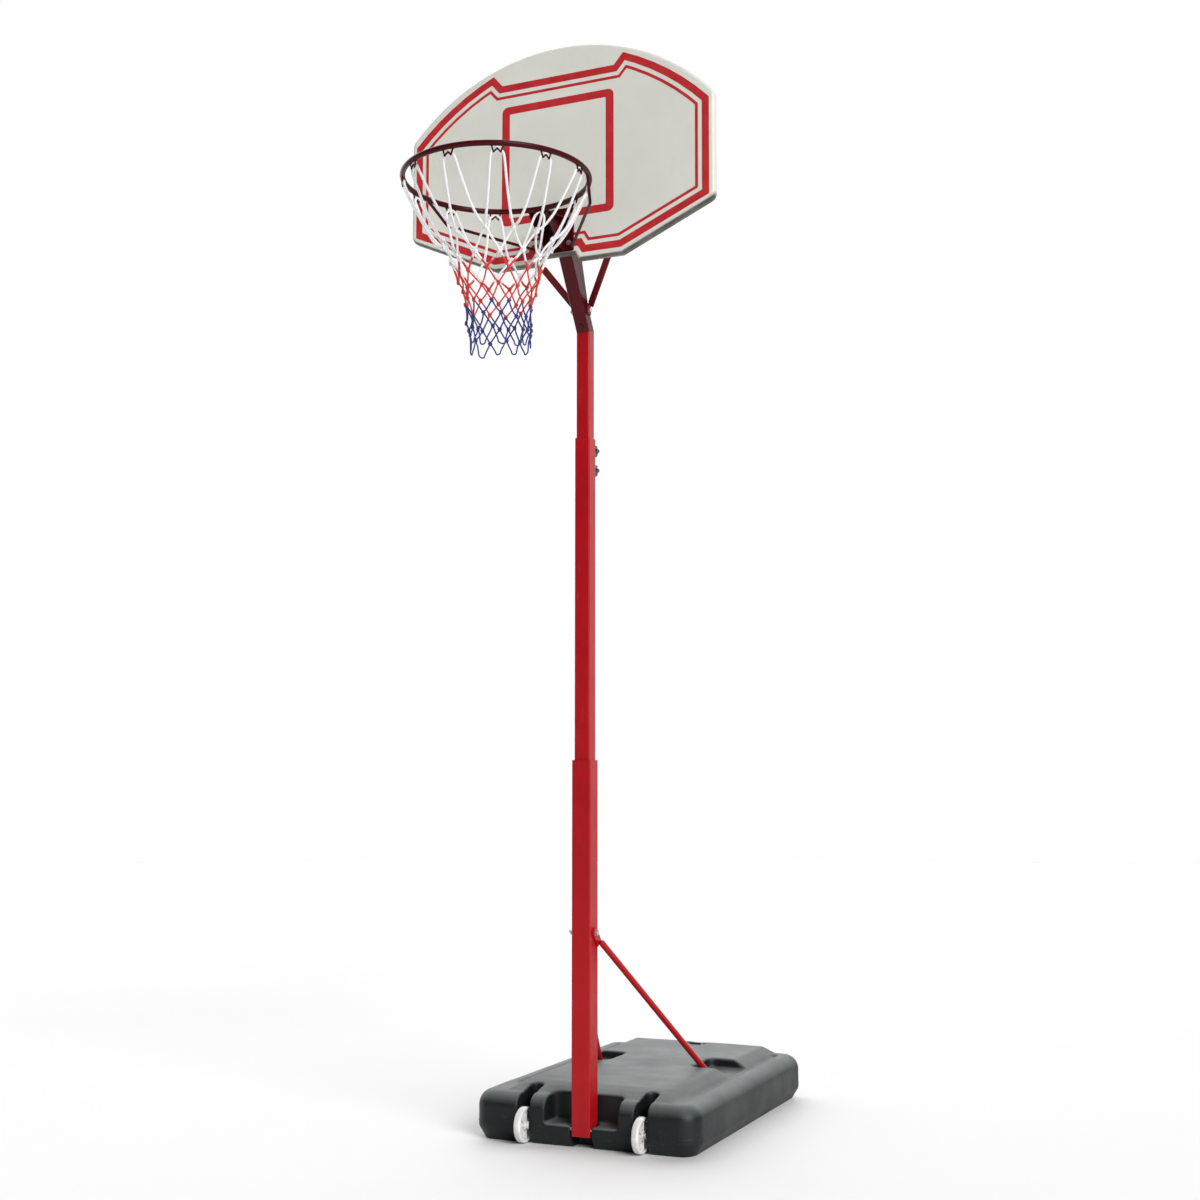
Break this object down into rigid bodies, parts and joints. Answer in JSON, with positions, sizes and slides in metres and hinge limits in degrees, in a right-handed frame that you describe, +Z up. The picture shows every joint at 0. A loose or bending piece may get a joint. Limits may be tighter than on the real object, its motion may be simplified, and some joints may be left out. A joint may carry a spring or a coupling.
{
  "type": "portable basketball hoop",
  "caption": "Height-adjustable portable basketball hoop: tank base on wheels, telescopic square pole, fan-shaped backboard, round rim and net.",
  "frame": {"origin": "on the floor, at the centre of the whole object's box (midway between the rim's front and the tank's back)", "axes": "+Z up along the pole; the rim faces -Y; +X is to the right of a player facing the board"},
  "size_m": [0.9, 1.695, 2.942],
  "materials": {
    "tank": "satin",
    "cap_plastic": "satin",
    "seal": "matte",
    "wheel_plastic": "satin",
    "zinc": "satin",
    "pole_paint": "gloss",
    "arm_paint": "gloss",
    "guide_plastic": "satin",
    "knob_plastic": "satin",
    "board_plastic": "satin",
    "net_cord": "matte"
  },
  "bodies": {
    "base": {"base_tank": "tank", "wheel_axle": "zinc", "axle_push_nuts": "zinc", "lower_tube": "pole_paint", "lower_tube_bush": "guide_plastic", "mid_tube": "pole_paint", "mid_tube_screws": "zinc", "mid_tube_bush": "guide_plastic", "clamp_weld_nuts": "pole_paint", "base_strut_right": "pole_paint", "base_strut_left": "pole_paint", "strut_pole_bolt": "zinc", "strut_pole_washers": "zinc", "strut_pole_nut": "zinc", "strut_foot_screws": "zinc", "strut_foot_washers": "zinc"},
    "head": {"top_tube": "pole_paint", "top_tube_glide": "guide_plastic", "elbow_spigot": "zinc", "elbow_arm": "arm_paint", "elbow_bolts": "arm_paint", "arm_gussets": "arm_paint", "board_upright": "arm_paint", "board_strut_right": "arm_paint", "board_strut_left": "arm_paint", "strut_arm_bolt": "zinc", "strut_arm_nut": "zinc", "strut_board_bolts": "zinc", "backboard": "board_plastic", "rim_ring": "arm_paint", "rim_bracket": "arm_paint", "rim_brace_right": "arm_paint", "rim_brace_left": "arm_paint", "net_hooks": "arm_paint", "rim_bolts": "zinc", "rim_nut_washers": "zinc", "rim_nuts": "zinc", "net": "net_cord"},
    "wheel_left": {"wheel_left": "wheel_plastic"},
    "wheel_right": {"wheel_right": "wheel_plastic"},
    "upper_washer": {"knob_washer_upper": "zinc"},
    "upper_knob": {"clamp_knob_upper": "knob_plastic", "clamp_stud_upper": "zinc"},
    "lower_washer": {"knob_washer_lower": "zinc"},
    "lower_knob": {"clamp_knob_lower": "knob_plastic", "clamp_stud_lower": "zinc"},
    "cap_seal": {"cap_gasket": "seal"},
    "cap": {"filler_cap": "cap_plastic"}
  },
  "joints": [
    {"name": "height_slide", "type": "slide", "parent": "base", "child": "head", "axis": [0, 0, 1], "range_m": [-0.25, 0.15]},
    {"name": "wheel_left_spin", "type": "hinge", "parent": "base", "child": "wheel_left", "pos_m": [-0.168, -0.0875, 0.0485], "axis": [1, 0, 0], "continuous": true},
    {"name": "wheel_right_spin", "type": "hinge", "parent": "base", "child": "wheel_right", "pos_m": [0.168, -0.0875, 0.0485], "axis": [1, 0, 0], "continuous": true},
    {"name": "upper_knob_travel", "type": "slide", "parent": "base", "child": "upper_washer", "axis": [0, 1, 0], "range_m": [0, 0.0038]},
    {"name": "upper_knob_turn", "type": "hinge", "parent": "upper_washer", "child": "upper_knob", "pos_m": [0, -0.0175, 1.868], "axis": [0, 1, 0], "range_deg": [0, 1080]},
    {"name": "lower_knob_travel", "type": "slide", "parent": "base", "child": "lower_washer", "axis": [0, 1, 0], "range_m": [0, 0.0038]},
    {"name": "lower_knob_turn", "type": "hinge", "parent": "lower_washer", "child": "lower_knob", "pos_m": [0, -0.0175, 1.813], "axis": [0, 1, 0], "range_deg": [0, 1080]},
    {"name": "cap_travel", "type": "slide", "parent": "base", "child": "cap_seal", "axis": [0, 0, 1], "range_m": [0, 0.0076]},
    {"name": "cap_turn", "type": "hinge", "parent": "cap_seal", "child": "cap", "pos_m": [0, 0.7685, 0.15], "axis": [0, 0, 1], "range_deg": [0, 900]}
  ],
  "couplings": [
    {"joint": "upper_knob_travel", "follows": "upper_knob_turn", "m_per_rad": 0.00019894},
    {"joint": "lower_knob_travel", "follows": "lower_knob_turn", "m_per_rad": 0.00019894},
    {"joint": "cap_travel", "follows": "cap_turn", "m_per_rad": 0.00047746}
  ]
}
